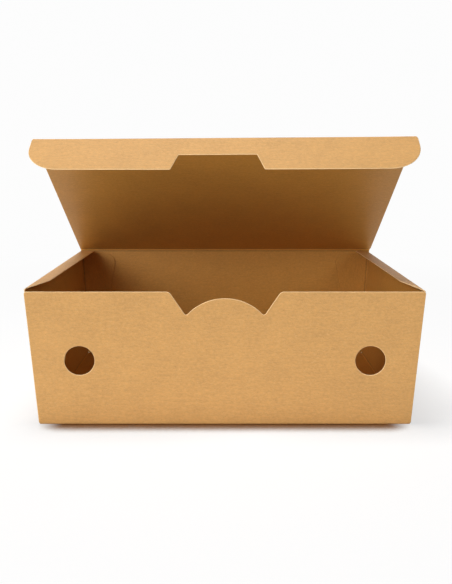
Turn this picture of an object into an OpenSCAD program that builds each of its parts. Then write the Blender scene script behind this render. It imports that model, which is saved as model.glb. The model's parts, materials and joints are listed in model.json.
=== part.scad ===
// Takeaway box folded from one blank of kraft board: a tapered tray with a hinged
// lid, and a tuck flap along the lid's free edge that closes over the front wall.
// Millimetres. The origin is the middle of the tray's underside, the front faces -Y.

/* [Board] */
// Thickness of the kraft board
card = 0.5; // [0.3:0.05:0.8]

/* [Tray] */
// Outer width of the tray at its rim
tray_w = 205; // [150:1:280]
// Outer depth of the tray at its rim, front to back
tray_d = 150; // [110:1:220]
// Height of the front wall
tray_h = 71; // [58:1:110]
// Outward lean of every wall, in degrees
wall_lean = 4.5; // [0:0.5:8]
// How far the side walls stand above the front wall
side_rise = 0.9; // [0.2:0.1:2]
// How far the back wall's hinge crease stands above the side walls
back_rise = 0.6; // [0.5:0.1:2]

/* [Front latch] */
// Width of the recess in the front wall at the rim
recess_top_w = 57; // [50:1:70]
// Width of the recess at its two low points, which is the width of the tongue
tongue_w = 40; // [30:1:46]
// Depth of the recess at its low points
recess_deep = 12.8; // [9:0.1:16]
// How far the top of the arched tongue lies below the rim
tongue_drop = 3.5; // [2:0.1:6]
// Rounding of the recess's corners
recess_round = 1.1; // [0.5:0.1:1.5]

/* [Vents] */
// Diameter of each vent hole
vent_d = 15.6; // [8:0.1:18]
// Distance from the rim's end to the centre of the vent, across the front
vent_in = 27.5; // [24:0.5:32]
// Height of the vent's centre above the underside
vent_up = 34.5; // [20:0.5:38]

/* [Glue tabs] */
// Width of a glue tab at its top
tab_w = 24; // [12:0.5:26]
// Height that the free edge of a tab runs below the rim before it starts
tab_drop = 2.5; // [1.5:0.1:5]
// Slant of the tab's free edge, in degrees, so that it narrows to the floor
tab_slant = 8.5; // [0:0.5:12]
// Rounding of the tab's top corner
tab_round = 5; // [2:0.5:8]

/* [Dust flaps] */
// Width of each dust flap at its back end, folded in from the side wall's top
dust_w = 10.5; // [6:0.5:16]
// Width of each dust flap at its front corner, where it is a little narrower
dust_front_w = 8; // [5:0.5:14]
// Height that the dust flap's free edge springs up above the side wall
dust_spring = 0.7; // [0.3:0.1:1]
// Length over which the front end of the flap is cut back
dust_cut = 23; // [3:0.5:30]
// Length over which the back end of the flap is cut back
dust_back_cut = 3; // [1:0.5:8]
// Rounding of the flap's free corners
dust_round = 2; // [1:0.5:4]

/* [Lid] */
// How far the lid's front fold reaches past the front wall when the lid is shut
lid_reach = 0.8; // [0.6:0.1:2]
// Gap that keeps the lid's panel off the back wall's crease
crease_gap = 0.5; // [0.4:0.05:0.8]
// Angle by which the lid stands open, from shut, in degrees
lid_open = 30.4; // [0:0.1:170]

/* [Tuck flap] */
// Length of the tuck flap from the fold to its free edge
tuck_len = 25; // [20:0.5:28]
// How far each end of the tuck flap stands past the lid's side
tuck_ear = 0.1; // [0:0.1:1.5]
// Rounding of the tuck flap's free corners
tuck_round = 17; // [6:0.5:18]
// Fold of the tuck flap from flat with the lid, in degrees
tuck_fold = 70.2; // [0:0.1:94]
// Clearance between the notch and the tongue that it clears, on each side
notch_clear = 0.4; // [0.2:0.1:1.5]
// Widening of the notch towards the free edge, on each side
notch_flare = 3.7; // [0:0.1:6]
// How far the notch stands off the middle, to the left in front view
notch_shift = 3.8; // [0:0.1:5]
// Rounding of the notch's inner corners
notch_round = 0.8; // [0.3:0.1:1.5]

/* [Hidden] */
$fn = 96;
// Slack by which cutting shapes run past what they cut
past = 1;
// Length of the bores and slots that cut right through a wall
through = 4;
// How deep a tab or flap runs into the board that it is folded from or glued to
glue_bite = card / 4;
kraft = [0.80, 0.62, 0.40];
kraft_inside = [0.60, 0.42, 0.24];
kraft_flap = [0.85, 0.69, 0.47];
// Horizontal run of a leaning wall over the tray's height
lean_run = tray_h * tan(wall_lean);
front_y = -tray_d / 2;
back_y = tray_d / 2;
side_x = tray_w / 2;
// Height of the side walls, and their outer half width there
side_h = tray_h + side_rise;
side_top_x = side_x + side_rise * tan(wall_lean);
// The lid turns about the outer top edge of the back wall
hinge_z = side_h + back_rise;
lid_len = tray_d + lid_reach;
// Depth of the front wall's top, and of the back wall where it stands above the rest,
// each counted in from the wall's outer face
front_stay = 1.25 * card;
back_stay = 1.5 * card;
// How far in front of the hinge the lid's panel starts
lid_start = crease_gap + card / 4;
// Half of the open crease between the lid and its tuck flap
fold_gap = 0.15;
// Angle of the dust flaps above the rim
dust_tilt = asin(dust_spring / dust_w);
dust_start = 1;
dust_len = tray_d - 2 * dust_start;
// The middle of the tuck flap ends just below the low points of the recess
bridge_len = recess_deep + card;
notch_deep = tuck_len - bridge_len;
notch_w = tongue_w + 2 * notch_clear;
// The tongue's top is an arc through its crown and the two low points
tongue_rise = recess_deep - tongue_drop;
tongue_r = (pow(tongue_w / 2, 2) + pow(tongue_rise, 2)) / (2 * tongue_rise);

// Solid of the tray's outline drawn in by `inset` on every side, from height `low` up
// to `high`, with the walls' lean carried on.
module taper_block(inset, low, high) {
    run_low = (tray_h - low) * tan(wall_lean) + inset;
    run_high = (tray_h - high) * tan(wall_lean) + inset;
    intersection() {
        rotate([90, 0, 0])
            linear_extrude(tray_d + through, center = true)
                side_outline(side_x, run_low, run_high, low, high);
        rotate([90, 0, 90])
            linear_extrude(tray_w + through, center = true)
                side_outline(back_y, run_low, run_high, low, high);
    }
}

// Trapezium that is the tray seen from one side
module side_outline(half, run_low, run_high, low, high) {
    polygon([
        [-half + run_low, low],
        [half - run_low, low],
        [half - run_high, high],
        [-half + run_high, high]
    ]);
}

// The recess of the front latch, drawn with the rim as y = 0 and the middle as x = 0
module recess_outline() {
    offset(r = recess_round)
        offset(delta = -recess_round)
            difference() {
                polygon([
                    [-recess_top_w / 2, 0],
                    [-tongue_w / 2, -recess_deep],
                    [tongue_w / 2, -recess_deep],
                    [recess_top_w / 2, 0],
                    [recess_top_w / 2, recess_deep],
                    [-recess_top_w / 2, recess_deep]
                ]);
                translate([0, -tongue_drop - tongue_r])
                    circle(tongue_r);
            }
}

// Cuts a 2D outline, drawn with the rim as y = 0, straight through the front wall
module through_front() {
    translate([0, front_y + lean_run + past, tray_h])
        rotate([90, 0, 0])
            linear_extrude(lean_run + through)
                children();
}

// One vent, bored square to the leaning front wall
module vent_bore(side) {
    wall_y = front_y + (tray_h - vent_up) * tan(wall_lean);
    translate([side * (side_x - vent_in), wall_y, vent_up])
        rotate([90 + wall_lean, 0, 0])
            cylinder(d = vent_d, h = through, center = true);
}

// Outline of a glue tab in the plane of its wall: x runs in from the rim's end
module tab_outline() {
    tab_h = tray_h - tab_drop;
    foot_w = tab_w - tab_h * tan(tab_slant);
    intersection() {
        polygon([[-past, 0], [tab_w, 0], [foot_w, -tab_h], [-past, -tab_h]]);
        union() {
            translate([tab_w - tab_round - tab_round * tan(tab_slant), -tab_round])
                circle(tab_round);
            translate([-past, -tab_h - past])
                square([tab_w + 2 * past, tab_h + past - tab_round]);
            translate([-past, -tab_round - past])
                square([tab_w - tab_round - tab_round * tan(tab_slant) + past, tab_round + 2 * past]);
        }
    }
}

// One glue tab, which is a side wall's end turned in and glued to the wall behind it
module glue_tab(side, wall) {
    face_y = back_y - card - tab_drop * tan(wall_lean);
    translate([side * side_x, wall * face_y, tray_h - tab_drop])
        rotate([90 - wall * wall_lean, 0, 0])
            mirror([side > 0 ? 1 : 0, 0, 0])
                translate([0, 0, wall > 0 ? -glue_bite : -card])
                    linear_extrude(card + glue_bite)
                        tab_outline();
}

// Outline of a dust flap: x runs in from the side wall, y from its front end
module dust_outline() {
    offset(r = dust_round)
        offset(delta = -dust_round)
            polygon([
                [-dust_w, 0],
                [0, 0],
                [dust_front_w, dust_cut],
                [dust_w, dust_len - dust_back_cut],
                [0, dust_len],
                [-dust_w, dust_len]
            ]);
}

// One dust flap, turned in over the tray from the top of a side wall
module dust_flap(side) {
    mirror([side > 0 ? 1 : 0, 0, 0])
        translate([-side_top_x + glue_bite, front_y + dust_start, side_h - glue_bite])
            rotate([0, -dust_tilt, 0])
                translate([0, 0, -card])
                    linear_extrude(card)
                        intersection() {
                            dust_outline();
                            square([dust_w + past, dust_len]);
                        }
}

// What is cut off above the walls: the front wall ends lowest, the side walls stand a
// little higher, and only the back wall reaches up to the crease.
module above_rim() {
    translate([-tray_w, front_y - past, tray_h])
        cube([2 * tray_w, past + front_stay, side_rise + back_rise + past]);
    translate([-tray_w, front_y - past, side_h])
        cube([2 * tray_w, tray_d + past - back_stay, back_rise + past]);
}

// Floor, four leaning walls, glue tabs and dust flaps: one folded and glued piece
module tray() {
    color(kraft) {
        difference() {
            taper_block(0, 0, hinge_z);
            taper_block(card, card, hinge_z + past);
            above_rim();
            through_front()
                recess_outline();
            for (side = [-1, 1])
                vent_bore(side);
        }
        intersection() {
            taper_block(card / 2, card / 2, tray_h);
            union()
                for (side = [-1, 1], wall = [-1, 1])
                    glue_tab(side, wall);
        }
        for (side = [-1, 1])
            dust_flap(side);
    }
}

// Places its children in the lid's frame: y = 0 and z = 0 are the hinge, -y is forward
module on_lid() {
    translate([0, back_y, hinge_z])
        rotate([-lid_open, 0, 0])
            children();
}

// The lid's panel, from the crease on the back wall to the fold of the tuck flap
module lid() {
    color(kraft_inside)
        on_lid()
            translate([-side_x, fold_gap - lid_len, crease_gap])
                cube([tray_w, lid_len - fold_gap - lid_start, card]);
}

// Outline of the tuck flap: y = 0 is the fold and the flap hangs to -tuck_len
module tuck_outline() {
    half = side_x + tuck_ear;
    difference() {
        intersection() {
            translate([-half, -tuck_len])
                square([2 * half, tuck_len - fold_gap]);
            union() {
                translate([-half, tuck_round - tuck_len])
                    square([2 * half, tuck_len]);
                translate([tuck_round - half, -tuck_len])
                    square([2 * (half - tuck_round), tuck_len]);
                for (side = [-1, 1])
                    translate([side * (half - tuck_round), tuck_round - tuck_len])
                        circle(tuck_round);
            }
        }
        translate([-notch_shift, 0])
            notch_outline();
    }
}

// The notch in the tuck flap, wider at the free edge
module notch_outline() {
    wide = notch_w / 2 + notch_flare * (notch_deep + tuck_len) / notch_deep;
    offset(r = notch_round)
        offset(delta = -notch_round)
            polygon([
                [-notch_w / 2, -bridge_len],
                [notch_w / 2, -bridge_len],
                [wide, -bridge_len - notch_deep - tuck_len],
                [-wide, -bridge_len - notch_deep - tuck_len]
            ]);
}

// The flap along the lid's free edge that closes over the front wall
module tuck_flap() {
    color(kraft_flap)
        on_lid()
            translate([0, -lid_len, crease_gap])
                rotate([tuck_fold, 0, 0])
                    linear_extrude(card)
                        tuck_outline();
}

tray();
lid();
tuck_flap();
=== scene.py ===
import json
import math

import bpy
import numpy as np
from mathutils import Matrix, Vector
from mathutils.geometry import delaunay_2d_cdt


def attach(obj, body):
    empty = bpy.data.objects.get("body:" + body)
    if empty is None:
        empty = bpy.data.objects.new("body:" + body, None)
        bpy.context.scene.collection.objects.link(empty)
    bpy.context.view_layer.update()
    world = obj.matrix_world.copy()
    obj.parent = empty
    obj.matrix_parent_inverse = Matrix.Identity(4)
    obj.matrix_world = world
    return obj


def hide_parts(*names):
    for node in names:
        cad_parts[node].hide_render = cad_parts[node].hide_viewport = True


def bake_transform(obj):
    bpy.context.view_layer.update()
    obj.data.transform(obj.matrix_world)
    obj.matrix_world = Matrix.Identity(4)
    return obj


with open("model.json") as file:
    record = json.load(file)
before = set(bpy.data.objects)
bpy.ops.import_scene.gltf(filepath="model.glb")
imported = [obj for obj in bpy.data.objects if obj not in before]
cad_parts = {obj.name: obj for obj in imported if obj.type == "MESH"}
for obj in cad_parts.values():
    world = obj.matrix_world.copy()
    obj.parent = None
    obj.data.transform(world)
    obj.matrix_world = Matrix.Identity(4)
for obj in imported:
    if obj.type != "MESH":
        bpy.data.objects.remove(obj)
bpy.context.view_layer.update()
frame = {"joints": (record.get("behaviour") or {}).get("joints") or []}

MM = 0.001

# Board and walls, as in the part's source, and the rounding of the rim's ends
CARD = 0.5
TRAY_W = 205.0
TRAY_D = 150.0
TRAY_H = 71.0
LEAN = math.radians(4.5)
BASE_X = TRAY_W / 2 - TRAY_H * math.tan(LEAN)
BASE_Y = TRAY_D / 2 - TRAY_H * math.tan(LEAN)
WALL = TRAY_H / math.cos(LEAN)
RIM_CORNER = 1.2

# Foot of the front and back walls, and the cut from there to the nick between the creases
FOOT_UP = 1.2
FOOT_ROUND = 0.8
NICK_STEPS = ((0.4, 0.6), (0.9, -0.1))
CORNER_NICK = 0.15

# Front latch and vents
RECESS_TOP = 57.0
TONGUE_W = 40.0
RECESS_DEEP = 12.8
TONGUE_DROP = 3.5
CROWN_STOP = 2.0
CROWN_STEPS = 30
RECESS_ROUND = 1.1
RIM_ROUND = 3.0
VENT_R = 7.8
VENT_X = 75.0
VENT_UP = 34.5

# Glue tabs, on the inside of the front and back walls
TAB_W = {-1: 25.5, 1: 25.0}
TAB_DROP = 1.0
TAB_SLANT = math.radians(8.5)
TAB_ROUND = 6.0
TAB_FOOT = 1.6
TAB_FOOT_ROUND = 1.5
TAB_RISE = math.radians(9)
GLUE = 0.05
TAB_LIFT = 0.35

# Where the glued part of a tab starts past its bend, and how dark the painted shade line along its edge is
GLUED_FROM = 0.5
TAB_EDGE_SHADE = 0.6

# Clearances of a side wall's cut edge from the bends at its end, its bottom and its top
TAB_CLEAR = 0.25
BOTTOM_CLEAR = (0.1, 0.3)
TOP_CLEAR = 0.2

# Dust flaps, folded in over the side walls
DUST_W = 10.5
DUST_FRONT_W = 8.0
DUST_FRONT_EDGE = 0.4
DUST_BACK_EDGE = 1.0
SIDE_TOP = {-1: 72.4, 1: 71.3}
DUST_TIP = 72.85
DUST_FRONT_CUT = 23.0
DUST_BACK_CUT = 3.0
DUST_ROUND = 2.0
DUST_END = 74.0

# Lid and tuck flap: half widths of the lid at its hinge and in front, and of the flap
LID_LIFT = 0.5
LID_BACK = {-1: 102.9, 1: 103.4}
LID_FRONT = {-1: 102.2, 1: 101.7}
TUCK_LEN = 25.0
TUCK_EAR = 102.7
TUCK_ROUND = {-1: 17.0, 1: 18.0}
SHOULDER = 1.5
SHOULDER_ROUND = 1.0
NOTCH_W = 40.8
NOTCH_FLARE = 3.7
NOTCH_BRIDGE = 13.3
NOTCH_SHIFT = -3.8
NOTCH_ROUND = 0.8
NOTCH_MOUTH_ROUND = 0.5

# Spring of a box folded by hand: of the lid over its width, the tuck flap and the side walls
LID_SPRING = (0.05, 0.9, 0.35)
TUCK_SPRING = 0.6
SIDE_SPRING = {-1: 0.005, 1: 0.003}
RIM_SPRING = 0.0015

# Outer radius of each kind of crease
BASE_BEND = 0.8
TAB_BEND = 0.75
DUST_BEND = 0.8
HINGE_BEND = 1.2
TUCK_BEND = 1.0

# Scoring: height of the bead inside a bend, and how far beside it the groove's painted shade is deepest
BEAD = 0.22
GROOVE = 0.5

# Least radius that the bead leaves inside a bend, and how far beside it the groove's painted shade ends
BEAD_CLEAR = 0.03
GROOVE_END = 1.6

# Width of the worn bevel along every cut edge
BEVEL = 0.22

# Mesh: plain grid, steps over a bend and along it, and the angle from which an edge is sharp
GRID = 5.0
BEND_STEPS = 12
ROW_STEP = 6
ROW_SPARE = 2
RING_POINTS = 72
SHARP = math.radians(28)

# Board colours: pulp and pale strands of each face, then dark strands, specks and cut edge
OUTSIDE_PULP = (0.655, 0.355, 0.116)
OUTSIDE_STRAND = (0.83, 0.57, 0.29)
# The inside's pulp and strands are darker and more saturated than the outside's: painted shade for the
# shaded inside of the box
SHADED_INSIDE_PULP = (0.580, 0.276, 0.052)
SHADED_INSIDE_STRAND = (0.70, 0.40, 0.13)
DARK_STRAND = (0.40, 0.20, 0.065, 1)
SPECK = (0.22, 0.10, 0.035, 1)
CUT_PULP = (0.92, 0.65, 0.34)

# The inside and the cut edge take their grain this far along the board, in metres
GRAIN_SHIFT = 0.6

# The camera fitted to the photograph: lens in millimetres, shift, place in metres, and pitch
LENS = 45.88
SHIFT = (0.0016, -0.173)
CAMERA_AT = (0, -0.45208, 0.14236)
CAMERA_PITCH = math.radians(87)

# Lamps face this point, and stand this far from it, in metres
LAMP_AIM = Vector((0, 0, 0.06))
LAMP_AWAY = 1.6

# White of the backdrop, how much of it a shadow takes away, the room's light, and the floor
WHITE = 0.98
SHADE_DEPTH = 0.3
ROOM_LIGHT = 0.03
FLOOR_WHITE = 0.95
FLOOR_HALF = 12.0
FLOOR_FADE = (0.2, 0.6)

# Contact shadow: colour, reach, how open the floor is at its edges, and |x| where it ends
CONTACT_BROWN = (0.33, 0.187, 0.085, 1)
CONTACT_REACH = 0.022
CONTACT_OPEN = (0.33, 0.585)
CONTACT_ENDS = (0.084, 0.099)

# The hinge and the tuck fold lie where the frame's joints are
joints = {joint["name"]: joint for joint in frame["joints"]}
hinge = Vector(joints["lid_hinge"]["pos_m"]) / MM
tuck = Vector(joints["tuck_fold"]["pos_m"]) / MM
lid_run = math.hypot(tuck.y - hinge.y, tuck.z - hinge.z)
lid_open = math.radians(-joints["lid_hinge"]["range_deg"][0])
tuck_angle = math.radians(-joints["tuck_fold"]["range_deg"][0])


class Crease:
    """A fold of the flat blank: what lies beyond its line turns up about a round bend.
    Points are rows of (u, v, n), with n the height over the sheet's outer face."""

    def __init__(self, at, across, angle, radius):
        self.at = np.array([*at, 0.0])
        self.across = np.array([*across, 0.0]) / math.hypot(*across)
        self.angle = angle
        self.radius = radius
        self.set_back = radius * math.tan(angle / 2)
        self.arc = radius * angle
        self.bead = min(BEAD, radius - CARD - BEAD_CLEAR)
        # Length that the round bend saves, against a sharp corner
        self.gain = self.arc - 2 * self.set_back

    def reach(self, points):
        """How far past the start of the bend each point lies, in the flat."""
        return (points - self.at) @ self.across + self.set_back

    def bend(self, points):
        past = self.reach(points)
        turn = np.clip(past / self.radius, 0, self.angle)
        rest = np.maximum(past - self.arc, 0)
        bead = self.bead * np.sin(math.pi * turn / self.angle) ** 2 * points[:, 2] / CARD
        radius = self.radius - points[:, 2] - bead
        along = np.minimum(past, 0) + np.sin(turn) * radius + np.cos(turn) * rest
        made = points + np.outer(along - past, self.across)
        made[:, 2] = self.radius - np.cos(turn) * radius + np.sin(turn) * rest
        return np.where((past > 0)[:, None], made, points)

    def wear_and_shade(self, flat):
        """1 along the middle of the bend, for pale wear with a painted highlight, -1 along the groove on
        either side, for painted shade, and 0 further off.
        """
        past = self.reach(flat)
        ridge = np.sin(math.pi * np.clip(past / self.arc, 0, 1)) ** 2
        beside = np.maximum(-past, past - self.arc)
        return ridge - np.interp(beside, (0, GROOVE, GROOVE_END), (0, 1, 0))


# Folds from the floor to the tuck flap
wall_turn = math.pi / 2 - LEAN
front_fold = Crease((0, -BASE_Y), (0, -1), wall_turn, BASE_BEND)
back_fold = Crease((0, BASE_Y), (0, 1), wall_turn, BASE_BEND)
SIDE_START = BASE_X + front_fold.gain
BACK_START = BASE_Y + back_fold.gain

# The hinge's corner is where the back wall's outer face meets the lid's, both straight
lid_turn = math.pi / 2 + LEAN - lid_open
lid_top = LID_LIFT + CARD
lid_normal = (math.sin(lid_open), math.cos(lid_open))
wall_gap = TRAY_D / 2 + (hinge.z - TRAY_H) * math.tan(LEAN) - hinge.y
corner_up = (lid_top - lid_normal[0] * wall_gap) / (lid_normal[0] * math.tan(LEAN) + lid_normal[1])
hinge_corner = (hinge.z + corner_up) / math.cos(LEAN)
hinge_fold = Crease((0, BACK_START + hinge_corner), (0, 1), lid_turn, HINGE_BEND)
LID_START = BACK_START + hinge_corner + hinge_fold.gain
corner_back = corner_up * math.tan(LEAN) + wall_gap
lid_near = corner_up * math.sin(lid_open) - corner_back * math.cos(lid_open)

# The tuck fold's joint runs along the board's inner face
tuck_slack = CARD * math.tan(tuck_angle / 2)
tuck_fold = Crease((0, LID_START + lid_run + tuck_slack - lid_near), (0, 1), tuck_angle, TUCK_BEND)
TUCK_START = LID_START + lid_run + tuck_slack - lid_near + tuck_fold.gain

# The tabs turn about the line where the side wall meets the inside of the next wall
TAB_Y = BASE_Y - (CARD + GLUE) / math.cos(LEAN)
tab_lean = math.atan(math.sin(LEAN))
tab_turn = math.acos(math.sin(LEAN) ** 2)


def tab_fold(side, end):
    """The crease of the glue tab at one corner of the blank."""
    return Crease(
        (side * SIDE_START, end * TAB_Y),
        (-side * math.sin(tab_lean), end * math.cos(tab_lean)),
        tab_turn,
        TAB_BEND,
    )


def side_fold(side):
    return Crease((side * BASE_X, 0), (side, 0), wall_turn, BASE_BEND)


def dust_fold(side):
    """The crease along the top of a side wall. The dust flap springs up to its free edge."""
    turn = math.pi / 2 + LEAN - math.asin((DUST_TIP - SIDE_TOP[side]) / DUST_W)
    line = SIDE_START + SIDE_TOP[side] / math.cos(LEAN)
    return Crease((side * line, 0), (side, 0), turn, DUST_BEND)


# Flat outlines
def spaced(points, step):
    """The closed outline with its long edges cut into steps, so that it can follow a bow."""
    made = []
    for (ax, ay), (bx, by) in zip(points, points[1:] + points[:1]):
        count = max(1, math.ceil(math.hypot(bx - ax, by - ay) / step))
        made += [(ax + (bx - ax) * i / count, ay + (by - ay) * i / count) for i in range(count)]
    return made


def rounded(corners, steps=8):
    """An outline from (u, v, radius) corners, with an arc at each corner that has a radius."""
    made = []
    for before, here, after in zip(corners[-1:] + corners[:-1], corners, corners[1:] + corners[:1]):
        at = Vector(here[:2])
        if here[2] == 0:
            made.append(tuple(at))
            continue
        back = (Vector(before[:2]) - at).normalized()
        on = (Vector(after[:2]) - at).normalized()
        half = back.angle(on) / 2
        middle = at + (back + on).normalized() * here[2] / math.sin(half)
        first = at + back * here[2] / math.tan(half) - middle
        last = at + on * here[2] / math.tan(half) - middle
        sweep = first.angle_signed(last)
        for i in range(steps + 1):
            turn = -sweep * i / steps
            x = first.x * math.cos(turn) - first.y * math.sin(turn)
            y = first.x * math.sin(turn) + first.y * math.cos(turn)
            made.append((middle.x + x, middle.y + y))
    return made


def ring(u, v, radius):
    turns = [2 * math.pi * i / RING_POINTS for i in range(RING_POINTS)]
    return [(u + radius * math.cos(t), v + radius * math.sin(t)) for t in turns]


def wall_half(up):
    """Half width of the front or back wall at a height along its slope."""
    return BASE_X + up * math.sin(LEAN)


def recess():
    """The front wall's rim from right to left through the recess, as corners from the rim down.
    The tongue's crown stops short of the recess's corners, to leave room for their rounding."""
    rise = RECESS_DEEP - TONGUE_DROP
    radius = ((TONGUE_W / 2) ** 2 + rise**2) / (2 * rise)
    span = math.asin(TONGUE_W / 2 / radius)
    first = CROWN_STOP / radius
    arc = [span - first - (2 * span - 2 * first) * i / CROWN_STEPS for i in range(CROWN_STEPS + 1)]
    crown = [(radius * math.sin(a), -TONGUE_DROP - radius + radius * math.cos(a), 0) for a in arc]
    half = RECESS_TOP / 2
    return [
        (half, 0, RIM_ROUND),
        (TONGUE_W / 2, -RECESS_DEEP, RECESS_ROUND),
        *crown,
        (-TONGUE_W / 2, -RECESS_DEEP, RECESS_ROUND),
        (-half, 0, RIM_ROUND),
    ]


def on_side(side, up, along):
    return (side * (SIDE_START + up), along)


def on_tab(side, end, x_in, up):
    """Flat place of a point of a tab, given where it lies behind the front or back wall:
    x_in from the wall's middle, and up along the wall's slope."""
    fold = tab_fold(side, end)
    run_x = BASE_X - x_in
    past = run_x * math.cos(tab_lean) + up * math.sin(tab_lean)
    line = up * math.cos(tab_lean) - run_x * math.sin(tab_lean)
    u = side * (SIDE_START + line * math.cos(tab_lean)) + (past + fold.gain) * fold.across[0]
    v = end * (TAB_Y + line * math.sin(tab_lean)) + (past + fold.gain) * fold.across[1]
    return (u, v)


def tab_corners(side, end):
    """Corners of the side wall's end with its glue tab, from the floor to the dust flap."""
    fold = tab_fold(side, end)
    back_off = fold.set_back + TAB_CLEAR

    def beside(up):
        return on_side(side, up, end * (TAB_Y + up * math.sin(tab_lean) - back_off))

    top = WALL - TAB_DROP
    foot_x = TRAY_W / 2 - TAB_W[side] + top * math.tan(TAB_SLANT)
    foot_up = TAB_FOOT + (BASE_X - foot_x) * math.tan(TAB_RISE)
    return [
        (*beside(front_fold.set_back - front_fold.arc + BOTTOM_CLEAR[0]), 0),
        (*beside(front_fold.set_back + BOTTOM_CLEAR[1]), 0),
        (*beside(TAB_FOOT), 0),
        (*on_tab(side, end, foot_x, foot_up), TAB_FOOT_ROUND),
        (*on_tab(side, end, TRAY_W / 2 - TAB_W[side], top), TAB_ROUND),
        (*beside(top), 0),
        (*beside(SIDE_TOP[side] / math.cos(LEAN) - DUST_BEND - TOP_CLEAR), 0),
    ]


def dust_corners(side):
    """Corners of a dust flap, from its front end to its back end."""
    fold = dust_fold(side)
    line = fold.at[0] - side * DUST_BEND
    start = fold.at[0] + side * fold.gain
    return [
        (line, -DUST_END, 0),
        (start + side * DUST_FRONT_EDGE, -DUST_END, 0),
        (start + side * DUST_FRONT_W, DUST_FRONT_CUT - DUST_END, DUST_ROUND),
        (start + side * DUST_W, DUST_END - DUST_BACK_CUT, DUST_ROUND),
        (start + side * DUST_BACK_EDGE, DUST_END, 0),
        (line, DUST_END, 0),
    ]


# The pieces meet just before the bends of the hinge and of the tuck fold
hinge_start = hinge_fold.at[1] - hinge_fold.set_back
tuck_start = tuck_fold.at[1] - tuck_fold.set_back
HINGE_SEAM = hinge_start - 0.5
TUCK_SEAM = tuck_start - 0.6


def tray_outline():
    """The die-cut outline of floor, four walls, glue tabs and dust flaps."""
    bend_start = front_fold.set_back
    rim = -(BACK_START + WALL)
    corners = [(-wall_half(WALL), rim, RIM_CORNER)]
    corners += [(u, rim - v, r) for u, v, r in reversed(recess())]
    corners.append((wall_half(WALL), rim, RIM_CORNER))

    def wall_foot(side, end):
        """Bottom corner of the front or back wall, with the nick between the creases."""
        nick_x = BASE_X - bend_start - CORNER_NICK
        nick_y = BASE_Y - bend_start - CORNER_NICK
        return [
            (side * wall_half(FOOT_UP), end * (BACK_START + FOOT_UP), FOOT_ROUND),
            *[(side * (BASE_X - x), end * (BASE_Y - bend_start + y), 0) for x, y in NICK_STEPS],
            (side * nick_x, end * nick_y, 0),
        ]

    corners += wall_foot(1, -1) + tab_corners(1, -1) + dust_corners(1)
    corners += tab_corners(1, 1)[::-1] + wall_foot(1, 1)[::-1]
    seam_up = HINGE_SEAM - BACK_START
    corners += [(wall_half(seam_up), HINGE_SEAM, 0), (-wall_half(seam_up), HINGE_SEAM, 0)]
    corners += wall_foot(-1, 1) + tab_corners(-1, 1) + dust_corners(-1)[::-1]
    corners += tab_corners(-1, -1)[::-1] + wall_foot(-1, -1)[::-1]
    return rounded(corners)


def lid_outline():
    """The lid's panel, from the crease on the back wall to its tuck fold."""
    seam = wall_half(HINGE_SEAM - BACK_START)
    bend = hinge_fold.at[1]
    return [
        (-seam, HINGE_SEAM),
        (seam, HINGE_SEAM),
        (LID_BACK[1], bend + SHOULDER),
        (LID_FRONT[1], TUCK_SEAM),
        (-LID_FRONT[-1], TUCK_SEAM),
        (-LID_BACK[-1], bend + SHOULDER),
    ]


def tuck_outline():
    """The tuck flap, with its wide ears and the notch that clears the tongue."""
    edge = TUCK_START + tuck_slack + TUCK_LEN
    notch = TUCK_START + tuck_slack + NOTCH_BRIDGE
    near = NOTCH_W / 2
    far = near + NOTCH_FLARE

    def ear(side):
        return [
            (side * LID_FRONT[side], TUCK_SEAM, 0),
            (side * TUCK_EAR, tuck_fold.at[1] + SHOULDER, SHOULDER_ROUND),
            (side * TUCK_EAR, edge, TUCK_ROUND[side]),
        ]

    corners = ear(-1)[:1] + ear(1)
    corners += [
        (NOTCH_SHIFT + far, edge, NOTCH_MOUTH_ROUND),
        (NOTCH_SHIFT + near, notch, NOTCH_ROUND),
        (NOTCH_SHIFT - near, notch, NOTCH_ROUND),
        (NOTCH_SHIFT - far, edge, NOTCH_MOUTH_ROUND),
    ]
    return rounded(corners + ear(-1)[:0:-1], 12)


# Folding up
def fold_wing(points, side):
    """Folds a side wall with its tabs and dust flap. The tabs' free edges lift off the glue."""
    for end in (-1, 1):
        fold = tab_fold(side, end)
        share = np.clip(fold.reach(points) / TAB_W[side], 0, 1)
        points = points + np.outer(TAB_LIFT * share**3, (0, 0, 1))
        points = fold.bend(points)
    points = dust_fold(side).bend(points)
    return side_fold(side).bend(points)


def lid_sway(points):
    """Height by which the lid stands off flat: its right end is sprung up, as a board lid is."""
    run = np.clip((points[:, 1] - LID_START) / lid_run, 0, 1)
    across = points[:, 0] / (TRAY_W / 2)
    even, lean, curl = LID_SPRING
    return (even + lean * across + curl * across**2) * run**1.5


def tuck_sway(points):
    """Height by which the tuck flap stands off flat, as its free edge stays straighter."""
    run = np.clip((points[:, 1] - TUCK_START) / TUCK_LEN, 0, 1)
    return -TUCK_SPRING * points[:, 0] / (TRAY_W / 2) * run


def spring_out(folded):
    """The side walls, sprung a little outwards towards the front of the rim."""
    rise = np.clip(folded[:, 2] / TRAY_H, 0, 1)
    front = np.clip(0.5 - folded[:, 1] / TRAY_D, 0, 1)
    wide = np.where(folded[:, 0] < 0, SIDE_SPRING[-1], SIDE_SPRING[1])
    folded[:, 0] *= 1 + (wide + RIM_SPRING * rise**2) * front
    return folded


def fold_strip(points):
    """Folds the strip: forward of the floor's middle the front wall, and behind it the back
    wall, the lid and the tuck flap, the last fold first."""
    back = points.copy()
    back[:, 2] -= tuck_sway(back)
    back = tuck_fold.bend(back)
    back[:, 2] -= lid_sway(back)
    back = back_fold.bend(hinge_fold.bend(back))
    return np.where(points[:, 1:2] < 0, front_fold.bend(points), back)


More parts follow.
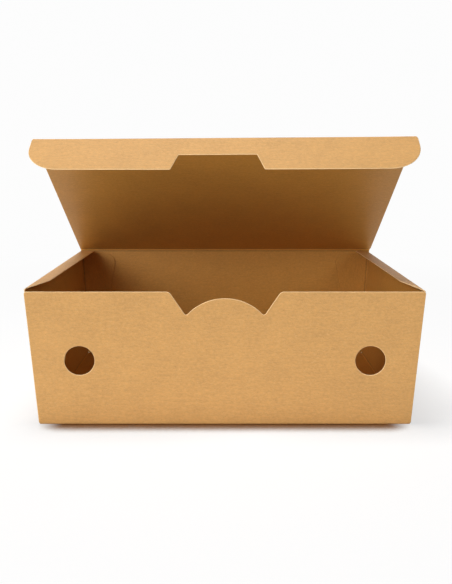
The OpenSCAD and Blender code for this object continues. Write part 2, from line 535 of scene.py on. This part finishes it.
def in_wing(seat):
    """True for the points of the blank that belong to a side wall, its tabs or dust flap."""
    size = np.abs(seat)
    margin = 0.05
    corner = BASE_Y - front_fold.set_back - margin
    beside = size[:, 0] > BASE_X - front_fold.set_back
    wall_edge = BASE_X + np.maximum(size[:, 1] - BACK_START, 0) * math.sin(LEAN) + margin
    wing = beside & ((size[:, 1] < corner) | (size[:, 0] > wall_edge))
    return wing & (size[:, 1] < BACK_START + WALL / 2)


def fold_up(points, seat):
    """Every point of the flat blank to its place in the box, in millimetres. Its seat, a
    point of the die-cut outline or in it, says which wall it belongs to."""
    wing = in_wing(seat)
    made = fold_strip(points)
    for side in (-1, 1):
        mine = wing & (seat[:, 0] * side > 0)
        made[mine] = fold_wing(points[mine], side)
    tray = seat[:, 1] < HINGE_SEAM
    made[tray] = spring_out(made[tray])
    return made


def crease_wear_and_shade(seat):
    """1 along the middle of every crease, pale wear with a painted highlight, -1 along its grooves, painted
    shade, and 0 away from them.
    """
    wing = in_wing(seat)
    flat = np.column_stack([seat, np.zeros(len(seat))])

    def strongest(folds):
        # Beside a bend its ridge is 0 but for a rounding error, and the groove counts
        wear_and_shade = np.array([fold.wear_and_shade(flat) for fold in folds])
        return np.where(wear_and_shade.max(0) > 1e-6, wear_and_shade.max(0), wear_and_shade.min(0))

    made = strongest((front_fold, back_fold, hinge_fold, tuck_fold))
    for side in (-1, 1):
        mine = wing & (seat[:, 0] * side > 0)
        folds = (side_fold(side), dust_fold(side), tab_fold(side, -1), tab_fold(side, 1))
        made = np.where(mine, strongest(folds), made)
    return made


def on_glue_tab(seat):
    """True for the points of a glue tab's glued part. Its cut edge is drawn in the inside's brown, as
    painted shade, rather than pale.
    """
    flat = np.column_stack([seat, np.zeros(len(seat))])
    found = np.zeros(len(seat), bool)
    for side in (-1, 1):
        past = np.max([tab_fold(side, end).reach(flat) for end in (-1, 1)], 0)
        found |= (seat[:, 0] * side > 0) & (past > GLUED_FROM)
    return found & in_wing(seat)


# Meshes
def inside(points, loops):
    """True for points in the outline and out of its holes, by the even-odd rule."""
    found = np.zeros(len(points), bool)
    x, y = points[:, 0], points[:, 1]
    for loop in loops:
        for (ax, ay), (bx, by) in zip(loop, loop[1:] + loop[:1]):
            if ay != by:
                crosses = (ay > y) != (by > y)
                found ^= crosses & (x < (bx - ax) * (y - ay) / (by - ay) + ax)
    return found


def crease_rows(fold, span):
    """Lines of points along a crease, close enough together to draw its bend smoothly."""
    bend = [fold.arc * i / BEND_STEPS for i in range(BEND_STEPS + 1)]
    offsets = [-GROOVE_END, -GROOVE, *bend, fold.arc + GROOVE, fold.arc + GROOVE_END]
    start = fold.at[:2] - fold.across[:2] * fold.set_back
    along = np.array([-fold.across[1], fold.across[0]])
    low, high = span
    runs = np.linspace(low, high, 2 + int((high - low) / ROW_STEP))
    return [[tuple(start + fold.across[:2] * s + along * t) for t in runs] for s in offsets]


def whole(half):
    """The span of a crease's rows from one end of the box to the other."""
    return (-half - ROW_SPARE, half + ROW_SPARE)


def off_edge(points, loops):
    """The points that lie clear of the outline's cut edge."""
    starts = np.array([p for loop in loops for p in loop])
    ends = np.array([p for loop in loops for p in loop[1:] + loop[:1]])
    way = ends - starts
    length = np.maximum((way**2).sum(1), 1e-12)
    kept = []
    for point in points:
        share = np.clip(((point - starts) * way).sum(1) / length, 0, 1)
        if np.hypot(*(starts + way * share[:, None] - point).T).min() > 3 * BEVEL:
            kept.append(point)
    return kept


def flat_mesh(outline, holes, rows):
    """Triangles over a flat outline: its points, its creases' rows, and a plain grid."""
    loops = [spaced(outline, GRID)] + holes
    rows = [off_edge(row, loops) for row in rows]
    points, edges = [], []
    for loop in loops:
        first = len(points)
        points += loop
        edges += [(first + i, first + (i + 1) % len(loop)) for i in range(len(loop))]
    for row in rows:
        first = len(points)
        points += row
        edges += [(first + i, first + i + 1) for i in range(len(row) - 1)]
    low, high = np.array(outline).min(0), np.array(outline).max(0)
    columns, lines = (np.arange(low[i], high[i], GRID) for i in range(2))
    taken = np.array(points)
    for spot in [(u, v) for u in columns for v in lines]:
        if np.hypot(*(taken - spot).T).min() > 0.4 * GRID:
            points.append(spot)
    made, _, faces, _, _, _ = delaunay_2d_cdt([Vector(p) for p in points], edges, [], 0, 1e-4)
    flat = np.array([tuple(p) for p in made])
    faces = np.array([f for f in faces if len(f) == 3])
    middle = flat[faces].mean(1)
    faces = faces[inside(middle, loops)]
    used = np.unique(faces)
    number = np.full(len(flat), -1)
    number[used] = np.arange(len(used))
    flat, faces = flat[used], number[faces]
    a, b, c = (flat[faces[:, i]] for i in range(3))
    ab, ac = b - a, c - a
    turned = ab[:, 0] * ac[:, 1] - ab[:, 1] * ac[:, 0] < 0
    faces[turned] = faces[turned][:, ::-1]
    return flat, faces


def edge_push(flat, rim, seams):
    """How far each point of the rim is drawn in, so that a bevel fits between the face and
    the cut edge. Along a seam, where the next piece goes on, there is none."""
    ways = {}
    for a, b in rim:
        way = (flat[b] - flat[a]) / np.hypot(*(flat[b] - flat[a]))
        depth = 0 if any(abs(flat[[a, b], 1] - seam).max() < 0.01 for seam in seams) else BEVEL
        for end in (a, b):
            ways.setdefault(end, []).append((way[1], -way[0], depth))
    push = np.zeros_like(flat)
    for point, sides in ways.items():
        (ax, ay, a_depth), (bx, by, b_depth) = sides[:2]
        cross = ax * by - ay * bx
        if abs(cross) < 0.05:
            push[point] = np.array([ax, ay]) * max(a_depth, b_depth)
        else:
            push[point] = (a_depth * by - b_depth * ay) / cross, (b_depth * ax - a_depth * bx) / cross
        push[point] /= max(1, np.hypot(*push[point]) / (2 * BEVEL))
    return push


def board(name, outline, holes, rows, materials, seams=()):
    """A piece of board: two faces of the outline a board's thickness apart, and round them
    the cut edge with its two bevels."""
    flat, faces = flat_mesh(outline, holes, rows)
    count = len(flat)
    sides = {(tri[i], tri[(i + 1) % 3]) for tri in faces.tolist() for i in range(3)}
    rim = [(a, b) for a, b in sides if (b, a) not in sides]
    turns = sorted({point for side in rim for point in side})
    drawn_in = flat - edge_push(flat, rim, seams)
    layers = [(drawn_in, 0), (drawn_in, CARD), (flat[turns], BEVEL), (flat[turns], CARD - BEVEL)]
    sheet = np.vstack([np.column_stack([spots, np.full(len(spots), depth)]) for spots, depth in layers])
    seat = np.vstack([flat, flat, flat[turns], flat[turns]])
    folded = fold_up(sheet, seat) * MM
    low = {point: 2 * count + i for i, point in enumerate(turns)}
    high = {point: 2 * count + len(turns) + i for i, point in enumerate(turns)}
    outer = faces[:, ::-1].tolist()
    inner = (faces + count).tolist()
    edge = [(a, b, low[b], low[a]) for a, b in rim]
    edge += [(low[a], low[b], high[b], high[a]) for a, b in rim]
    edge += [(high[a], high[b], b + count, a + count) for a, b in rim]
    mesh = bpy.data.meshes.new(name)
    mesh.from_pydata(folded.tolist(), [], outer + inner + edge)
    for material in materials:
        mesh.materials.append(material)
    cut = np.zeros(len(mesh.polygons), np.int32)
    cut[len(faces):2 * len(faces)] = 1
    # A glue tab's cut edge takes the inside's brown, painted shade, instead of the pale cut colour
    glued = on_glue_tab(flat[[a for a, _ in rim]])
    cut[2 * len(faces):] = np.where(np.tile(glued, 3), 1, 2)
    mesh.polygons.foreach_set("material_index", cut)
    sheet_map = mesh.uv_layers.new(name="sheet")
    corner = np.zeros(len(mesh.loops), np.int32)
    mesh.loops.foreach_get("vertex_index", corner)
    spread = sheet[:, :2] * MM + np.where(sheet[:, 2:] > 0, GRAIN_SHIFT, 0.0)
    sheet_map.uv.foreach_set("vector", spread[corner].astype(np.float32).ravel())
    # Crease wear with painted highlights on the ridges and painted shade in the grooves
    wear_and_shade = crease_wear_and_shade(seat)
    # Along a tab's edge a dark line of painted shade
    wear_and_shade[2 * count:][on_glue_tab(seat[2 * count:])] = -TAB_EDGE_SHADE
    crease_shade_layer = mesh.attributes.new("crease", "FLOAT", "POINT")
    crease_shade_layer.data.foreach_set("value", wear_and_shade.astype(np.float32))
    mesh.shade_smooth()
    mesh.set_sharp_from_angle(angle=SHARP)
    mesh.validate()
    made = bpy.data.objects.new(name, mesh)
    bpy.context.scene.collection.objects.link(made)
    return made


# Materials
class Socket:
    """An output of a shader node, on which Python's arithmetic adds Math nodes."""

    def __init__(self, graph, out):
        self.graph = graph
        self.out = out

    def __add__(self, other):
        return self.graph.math("ADD", self, other)

    def __radd__(self, other):
        return self.graph.math("ADD", other, self)

    def __sub__(self, other):
        return self.graph.math("SUBTRACT", self, other)

    def __rsub__(self, other):
        return self.graph.math("SUBTRACT", other, self)

    def __mul__(self, other):
        return self.graph.math("MULTIPLY", self, other)

    def __rmul__(self, other):
        return self.graph.math("MULTIPLY", other, self)


class Graph:
    """The shader nodes of one material or of the world."""

    def __init__(self, owner):
        owner.use_nodes = True
        self.owner = owner
        self.tree = owner.node_tree
        self.tree.nodes.clear()

    def node(self, kind, settings=None, sockets=None, out=0):
        """Adds a node: settings first, then the values or links of its sockets."""
        made = self.tree.nodes.new("ShaderNode" + kind)
        for name, value in (settings or {}).items():
            setattr(made, name, value)
        for name, value in (sockets or {}).items():
            if isinstance(value, Socket):
                self.tree.links.new(value.out, made.inputs[name])
            else:
                made.inputs[name].default_value = value
        return Socket(self, made.outputs[out]) if made.outputs else None

    def math(self, operation, a, b):
        return self.node("Math", {"operation": operation}, {0: a, 1: b})

    def ease(self, value, low, high):
        """0 below low, 1 above high, and smooth between."""
        ends = {"Value": value, "From Min": low, "From Max": high}
        return self.node("MapRange", {"interpolation_type": "SMOOTHSTEP"}, ends)

    def mix(self, share, a, b):
        return self.node("Mix", {"data_type": "RGBA"}, {0: share, 6: a, 7: b}, out=2)

    def scaled(self, colour, factor):
        return self.node("VectorMath", {"operation": "SCALE"}, {0: colour, "Scale": factor})

    def sheet(self):
        """Where each point lies on the flat blank, in millimetres."""
        return self.scaled(self.node("UVMap", {"uv_map": "sheet"}), 1 / MM)

    def noise(self, where, scale, detail, roughness):
        sockets = {"Vector": where, "Scale": scale, "Detail": detail, "Roughness": roughness}
        return self.node("TexNoise", {"noise_dimensions": "2D"}, sockets)

    def stretched(self, where, turn, length, width):
        """The sheet's coordinates turned and stretched, so that noise on them makes strands."""
        settings = {"vector_type": "TEXTURE"}
        sockets = {"Vector": where, "Rotation": (0, 0, turn), "Scale": (length, width, 1)}
        return self.node("Mapping", settings, sockets)

    def glow(self, strength):
        return self.node("Emission", None, {"Color": (1, 1, 1, 1), "Strength": strength})

    def matt(self, colour):
        return self.node("BsdfDiffuse", None, {"Color": colour})

    def grey(self, level):
        return self.matt((level, level, level, 1))

    def surface(self, shader, output="OutputMaterial"):
        self.node(output, None, {"Surface": shader})
        return self.owner


def kraft_face(name, pulp_colour, strand_colour, gloss, ridge_pale_and_highlight, groove_shade):
    """One face of the board: brown pulp, cloudy, with fibres lying every way and few specks.
    It is rubbed pale along the creases' ridges, with a painted highlight there, and painted shade darkens
    their grooves."""
    g = Graph(bpy.data.materials.new(name))
    sheet = g.sheet()
    clouds = g.noise(sheet, 0.05, 3, 0.55)
    flow = g.noise(g.stretched(sheet, 0.0, 9.0, 1.4), 1.0, 3, 0.6)
    pulp = g.noise(g.stretched(sheet, 0.1, 1.9, 0.9), 1.0, 4, 0.7)
    fine = g.noise(sheet, 3.4, 3, 0.6)
    crease = g.node("Attribute", {"attribute_name": "crease"}, out=2)
    tone = 1 + 0.16 * (clouds - 0.5) + 0.2 * (flow - 0.5) + 0.42 * (pulp - 0.5) + 0.2 * (fine - 0.5)
    ridge = g.math("MAXIMUM", crease, 0.0)
    groove = g.math("MAXIMUM", 0 - crease, 0.0)
    # Pale wear with a painted highlight along the ridges, and painted shade in the grooves
    tone = tone + ridge_pale_and_highlight * ridge - groove_shade * groove
    pale = 0.0
    dark = 0.0
    for turn, length in ((0.08, 3.2), (0.75, 2.4), (-0.62, 2.6), (1.45, 2.0)):
        strands = g.noise(g.stretched(sheet, turn, length, 0.17), 1.0, 1.5, 0.4)
        pale = pale + g.ease(strands, 0.66, 0.76)
        dark = dark + g.ease(1 - strands, 0.68, 0.78)
    flecks = g.node("TexVoronoi", {"voronoi_dimensions": "2D"}, {"Vector": sheet, "Scale": 0.16})
    specks = 1 - g.ease(flecks, 0.012, 0.026)
    base = g.scaled(pulp_colour, tone)
    lit = g.mix(0.22 * pale, base, (*strand_colour, 1))
    shaded = g.mix(0.24 * dark, lit, DARK_STRAND)
    colour = g.mix(0.55 * specks, shaded, SPECK)
    height = 0.6 * pulp + 0.25 * fine + 0.12 * pale - 0.12 * dark
    bump = g.node("Bump", None, {"Height": height, "Distance": 0.05 * MM, "Strength": 0.6})
    rough = 1 - gloss - 0.12 * (pulp - 0.5)
    sockets = {"Base Color": colour, "Roughness": rough, "Normal": bump, "Specular IOR Level": 0.32}
    return g.surface(g.node("BsdfPrincipled", None, sockets))


def cut_edge():
    """The die-cut edge, where the pale core of the pulp shows with short torn fibres."""
    g = Graph(bpy.data.materials.new("kraft_cut_edge"))
    torn = g.noise(g.sheet(), 2.2, 4, 0.7)
    colour = g.scaled(CUT_PULP, 1 + 0.3 * (torn - 0.5))
    bump = g.node("Bump", None, {"Height": torn, "Distance": 0.06 * MM, "Strength": 0.5})
    sockets = {"Base Color": colour, "Roughness": 0.9, "Normal": bump, "Specular IOR Level": 0.2}
    return g.surface(g.node("BsdfPrincipled", None, sockets))


# Camera, lamps, floor and backdrop
def camera():
    """The photograph's camera: just below the lid's front edge, level but for three degrees."""
    data = bpy.data.cameras.new("camera")
    data.lens = LENS
    data.shift_x, data.shift_y = SHIFT
    data.clip_start = 0.01
    data.clip_end = 30
    made = bpy.data.objects.new("camera", data)
    made.location = CAMERA_AT
    made.rotation_euler = (CAMERA_PITCH, 0, 0)
    bpy.context.scene.collection.objects.link(made)
    bpy.context.scene.camera = made


def lamp(name, azimuth, elevation, width, height, power):
    """A soft box that faces the box, placed by its direction from it."""
    data = bpy.data.lights.new(name, "AREA")
    data.shape = "RECTANGLE"
    data.size = width
    data.size_y = height
    data.energy = power
    made = bpy.data.objects.new(name, data)
    a, e = math.radians(azimuth), math.radians(elevation)
    way = Vector((math.sin(a) * math.cos(e), -math.cos(a) * math.cos(e), math.sin(e)))
    made.location = LAMP_AIM + way * LAMP_AWAY
    made.rotation_euler = way.to_track_quat("Z", "Y").to_euler()
    made.visible_camera = False
    bpy.context.scene.collection.objects.link(made)
    return made


def share_out(floor_object, lamps, state):
    """Says whether these lamps light nothing but the floor, or everything but it."""
    for one in lamps:
        lit = bpy.data.collections.new(one.name + "_lights")
        lit.objects.link(floor_object)
        lit.collection_objects[0].light_linking.link_state = state
        one.light_linking.receiver_collection = lit


def white_shown(g):
    """1 where the camera, or a reflection, sees the floor or the room, and 0 for soft light."""
    ray = g.node("LightPath")
    return g.math("MAXIMUM", ray, Socket(g, ray.out.node.outputs["Is Glossy Ray"]))


def floor():
    """A white floor. Seen by the camera it keeps the soft shadow near the box, has a painted brown contact
    shadow where the board all but touches it, and goes over into the backdrop's white further out."""
    g = Graph(bpy.data.materials.new("floor_white"))
    spot = g.node("TexCoord", out=3)
    away = g.node("VectorMath", {"operation": "LENGTH"}, {0: spot}, out=1)
    near = g.node("AddShader", None, {0: g.grey(SHADE_DEPTH), 1: g.glow(1.0 - SHADE_DEPTH)})
    far = g.glow(WHITE)
    # Painted contact shadow: ambient occlusion near the box's front turns the floor brown
    painted_contact_shadow = g.matt(CONTACT_BROWN)
    backward = g.node("CombineXYZ", None, {"Y": 0.7, "Z": 0.7})
    free = g.node("AmbientOcclusion", None, {"Distance": CONTACT_REACH, "Normal": backward}, out=1)
    across = g.node("SeparateXYZ", None, {0: spot})
    past_end = g.ease(g.math("ABSOLUTE", across, 0.0), *CONTACT_ENDS)
    clear = g.math("MAXIMUM", g.ease(free, *CONTACT_OPEN), past_end)
    close_by = g.node("MixShader", None, {0: clear, 1: painted_contact_shadow, 2: near})
    seen = g.node("MixShader", None, {0: g.ease(away, *FLOOR_FADE), 1: close_by, 2: far})
    plain = g.grey(FLOOR_WHITE)
    both = g.node("MixShader", None, {0: white_shown(g), 1: plain, 2: seen})
    mesh = bpy.data.meshes.new("floor")
    ways = ((-1, -1), (1, -1), (1, 1), (-1, 1))
    mesh.from_pydata([(x * FLOOR_HALF, y * FLOOR_HALF, 0) for x, y in ways], [], [(0, 1, 2, 3)])
    mesh.materials.append(g.surface(both))
    made = bpy.data.objects.new("floor", mesh)
    bpy.context.scene.collection.objects.link(made)
    return made


def backdrop():
    """The world: white to the camera, and a dim even room to everything else."""
    world = bpy.data.worlds.new("studio")
    bpy.context.scene.world = world
    g = Graph(world)
    room = g.node("Background", None, {"Color": (1, 1, 1, 1), "Strength": ROOM_LIGHT})
    white = g.node("Background", None, {"Color": (1, 1, 1, 1), "Strength": WHITE})
    both = g.node("MixShader", None, {0: white_shown(g), 1: room, 2: white})
    g.surface(both, "OutputWorld")


# Making the scene
camera()
backdrop()
ground = floor()
soft_boxes = [
    lamp("key", -40, 20, 1.2, 0.8, 14.8),
    lamp("top", -35, 72, 0.7, 0.7, 12.9),
    lamp("fill", 40, 28, 0.5, 0.5, 2.5),
    lamp("back", 180, 50, 0.9, 0.9, 8.0),
]
side_box = lamp("side", -78, 84, 0.5, 0.5, 26.0)
share_out(ground, soft_boxes, "EXCLUDE")
share_out(ground, [side_box], "INCLUDE")

# Last two numbers: pale wear with a painted highlight on the creases' ridges, and painted shade in their
# grooves
outside_face = kraft_face("kraft_face", OUTSIDE_PULP, OUTSIDE_STRAND, 0.46, 0.12, 0.0)
inside_face = kraft_face("kraft_inside", SHADED_INSIDE_PULP, SHADED_INSIDE_STRAND, 0.52, 0.5, 0.33)
kraft = [outside_face, inside_face, cut_edge()]
half_w = TRAY_W / 2

tray_rows = crease_rows(front_fold, whole(BASE_X)) + crease_rows(back_fold, whole(BASE_X))
for side in (-1, 1):
    tray_rows += crease_rows(side_fold(side), whole(BASE_Y)) + crease_rows(dust_fold(side), whole(DUST_END))
    for end in (-1, 1):
        upward = -side * end
        foot, top = upward * TAB_FOOT - ROW_SPARE, upward * WALL + ROW_SPARE
        tray_rows += crease_rows(tab_fold(side, end), sorted((foot, top)))
# One more row on the tray, where the painted shade of the groove below the hinge ends
groove_foot = HINGE_SEAM - (GROOVE_END - GROOVE)
tray_rows.append([(u, groove_foot) for u in np.linspace(1 - half_w, half_w - 1, 36)])
tray = board(
    "tray_board",
    tray_outline(),
    [ring(side * VENT_X, -(BACK_START + VENT_UP / math.cos(LEAN)), VENT_R) for side in (-1, 1)],
    tray_rows,
    kraft,
    [HINGE_SEAM],
)
lid_rows = crease_rows(hinge_fold, whole(half_w))
lid = board("lid_board", lid_outline(), [], lid_rows, kraft, [HINGE_SEAM, TUCK_SEAM])
flap_rows = crease_rows(tuck_fold, whole(half_w))
tuck_flap = board("tuck_flap_board", tuck_outline(), [], flap_rows, kraft, [TUCK_SEAM])

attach(tray, "tray")


def place(flat_v):
    """Where a line of the strip at the sheet's outer face lies, in the frame."""
    return Vector(fold_up(np.array([[0.0, flat_v, 0.0]]), np.array([[0.0, flat_v]]))[0]) * MM


place(hinge_start - 0.3)
place(hinge_start + hinge_fold.arc + 0.3)
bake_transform(lid)
place(tuck_start - 0.3)
place(tuck_start + tuck_fold.arc + 0.3)
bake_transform(tuck_flap)
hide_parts("tray")
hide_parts("lid")
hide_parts("tuck_flap")

bpy.context.scene.view_settings.view_transform = "Standard"
